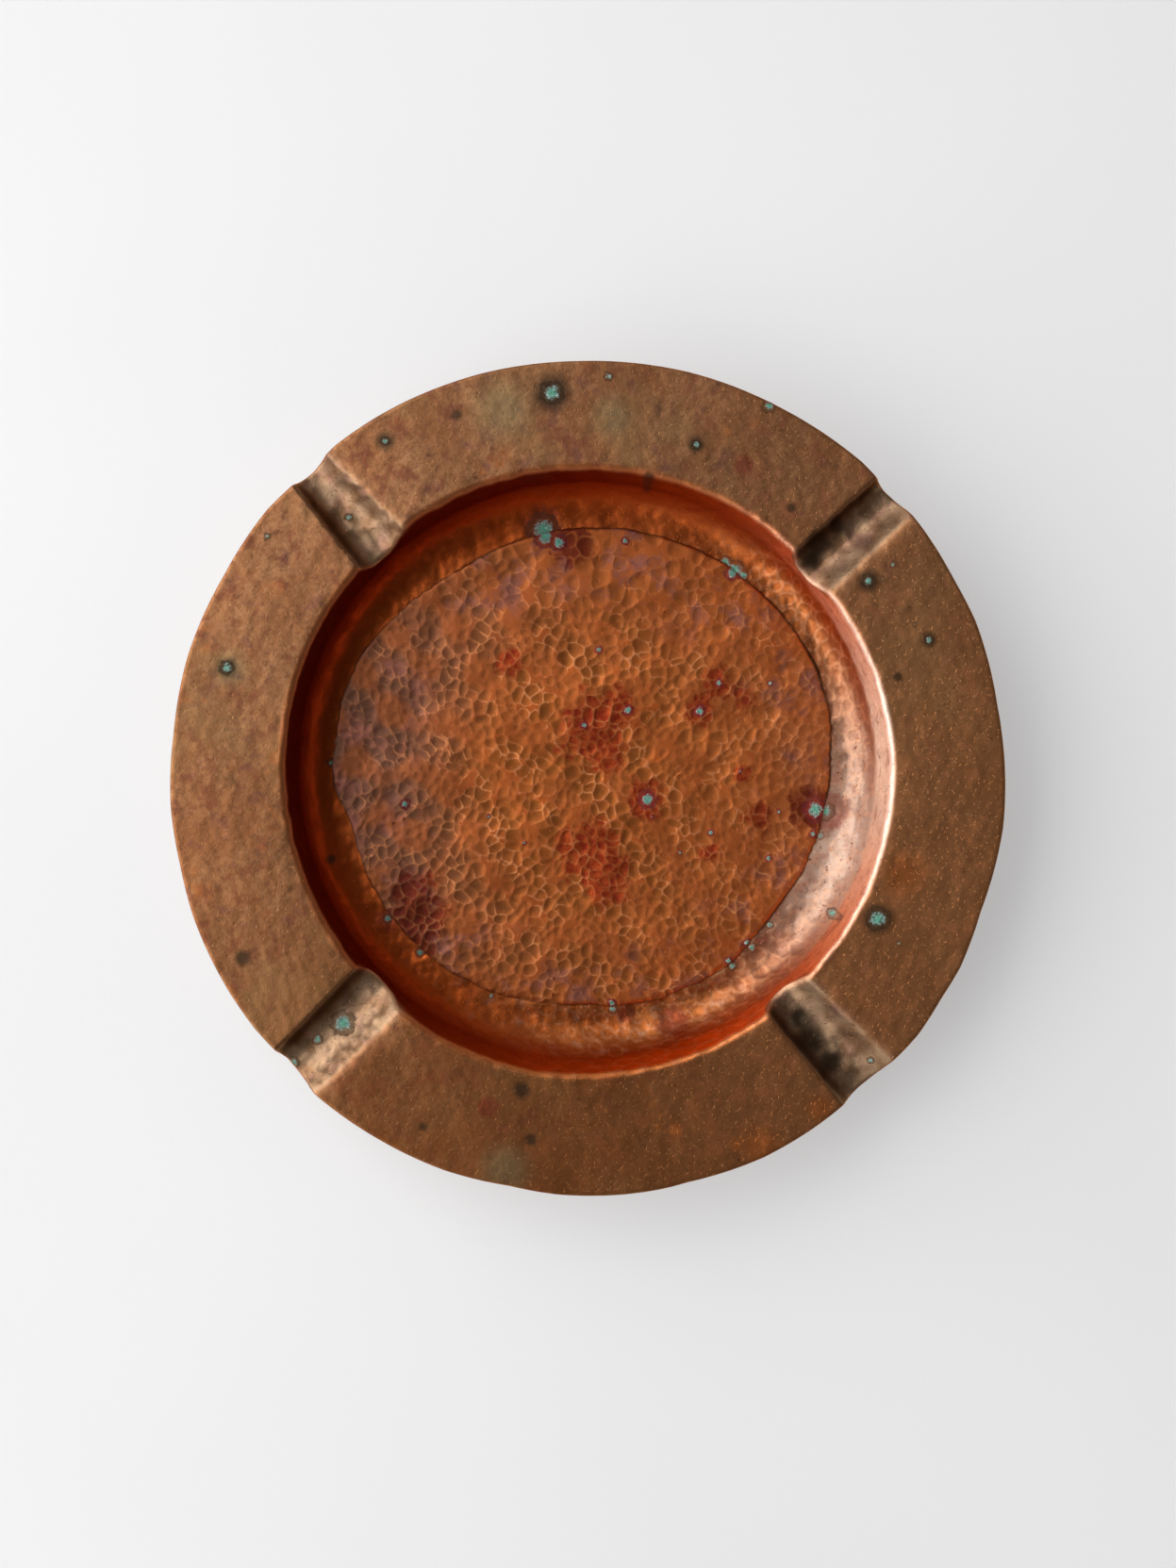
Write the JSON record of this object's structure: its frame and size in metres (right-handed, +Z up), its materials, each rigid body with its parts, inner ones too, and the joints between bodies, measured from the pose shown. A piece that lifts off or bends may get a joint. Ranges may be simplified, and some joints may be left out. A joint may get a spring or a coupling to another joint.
{
  "type": "copper dish with rests",
  "caption": "Round hammered copper dish with a broad flat rim, trough-shaped rests pressed in the rim and a hammered disc laid in its well.",
  "frame": {"origin": "centre of the rim's outer circle, on the table that the dish stands on", "axes": "+Z up out of the well; +X, +Y, -X and -Y each run out along one of the rests, to within two degrees"},
  "size_m": [0.203, 0.203, 0.026],
  "materials": {
    "raised_copper": "hand-hammered copper with a brown patina, worn bright on the wall of the well",
    "soft_solder": "dull grey tin-lead solder, hidden under the disc",
    "disc_copper": "copper hammered all over with a small ball peen, orange ridges over brown hollows"
  },
  "bodies": {
    "root": {"dish": "raised_copper", "solder_film": "soft_solder", "floor_disc": "disc_copper"}
  },
  "joints": []
}
